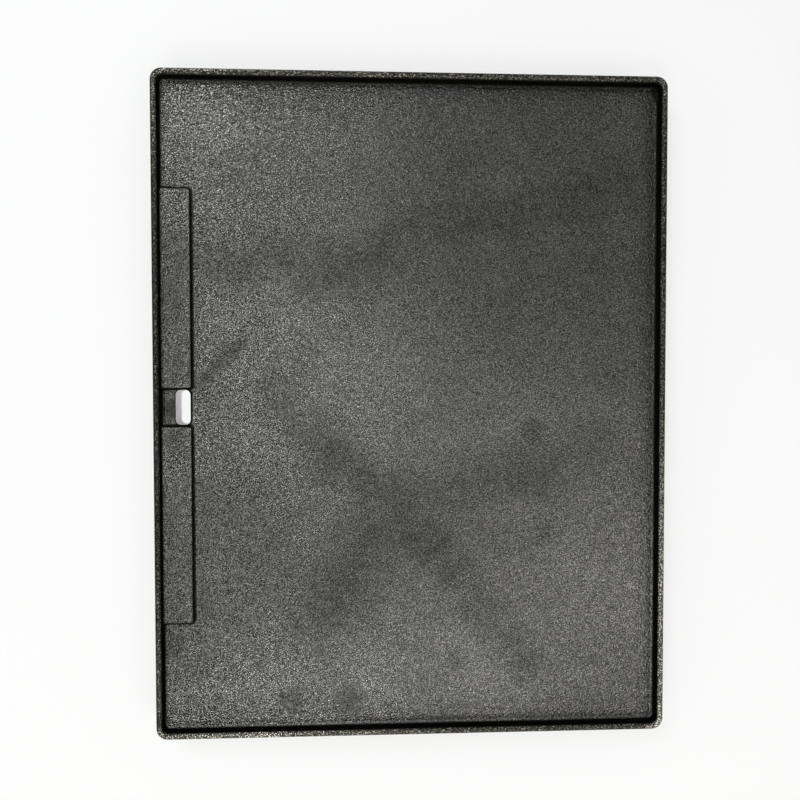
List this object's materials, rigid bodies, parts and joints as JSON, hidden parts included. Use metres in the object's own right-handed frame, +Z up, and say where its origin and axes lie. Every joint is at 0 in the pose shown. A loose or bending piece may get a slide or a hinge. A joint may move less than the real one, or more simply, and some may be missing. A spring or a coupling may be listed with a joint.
{
  "type": "camp griddle plate",
  "caption": "Cast-iron camp griddle plate with a raised rim, raised pads beside an edge drain slot, a bright steel drain spout below and levelling screws to stand on.",
  "frame": {"origin": "on the ground under the middle of the plate, level with the lower ends of the levelling screws", "axes": "+Z up out of the cooking face, +Y along the plate's length, +X away from the drain side"},
  "size_m": [0.36, 0.465, 0.0237],
  "materials": {
    "seasoned_iron": "black seasoned sand-cast skin, pebbly, satin",
    "bright_steel": "bright drawn sheet",
    "plated_steel": "zinc-plated, dulled by heat"
  },
  "bodies": {
    "plate": {"griddle_plate": "seasoned_iron", "drain_spout": "bright_steel", "spout_screws": "plated_steel", "lock_nut_front_left": "plated_steel", "lock_nut_front_right": "plated_steel", "lock_nut_rear_left": "plated_steel", "lock_nut_rear_right": "plated_steel"},
    "foot_front_left": {"levelling_screw_front_left": "plated_steel"},
    "foot_front_right": {"levelling_screw_front_right": "plated_steel"},
    "foot_rear_left": {"levelling_screw_rear_left": "plated_steel"},
    "foot_rear_right": {"levelling_screw_rear_right": "plated_steel"}
  },
  "joints": [
    {"name": "level_front_left", "type": "slide", "parent": "plate", "child": "foot_front_left", "axis": [0, 0, -1], "range_m": [0, 0.003]},
    {"name": "level_front_right", "type": "slide", "parent": "plate", "child": "foot_front_right", "axis": [0, 0, -1], "range_m": [0, 0.003]},
    {"name": "level_rear_left", "type": "slide", "parent": "plate", "child": "foot_rear_left", "axis": [0, 0, -1], "range_m": [0, 0.003]},
    {"name": "level_rear_right", "type": "slide", "parent": "plate", "child": "foot_rear_right", "axis": [0, 0, -1], "range_m": [0, 0.003]}
  ]
}
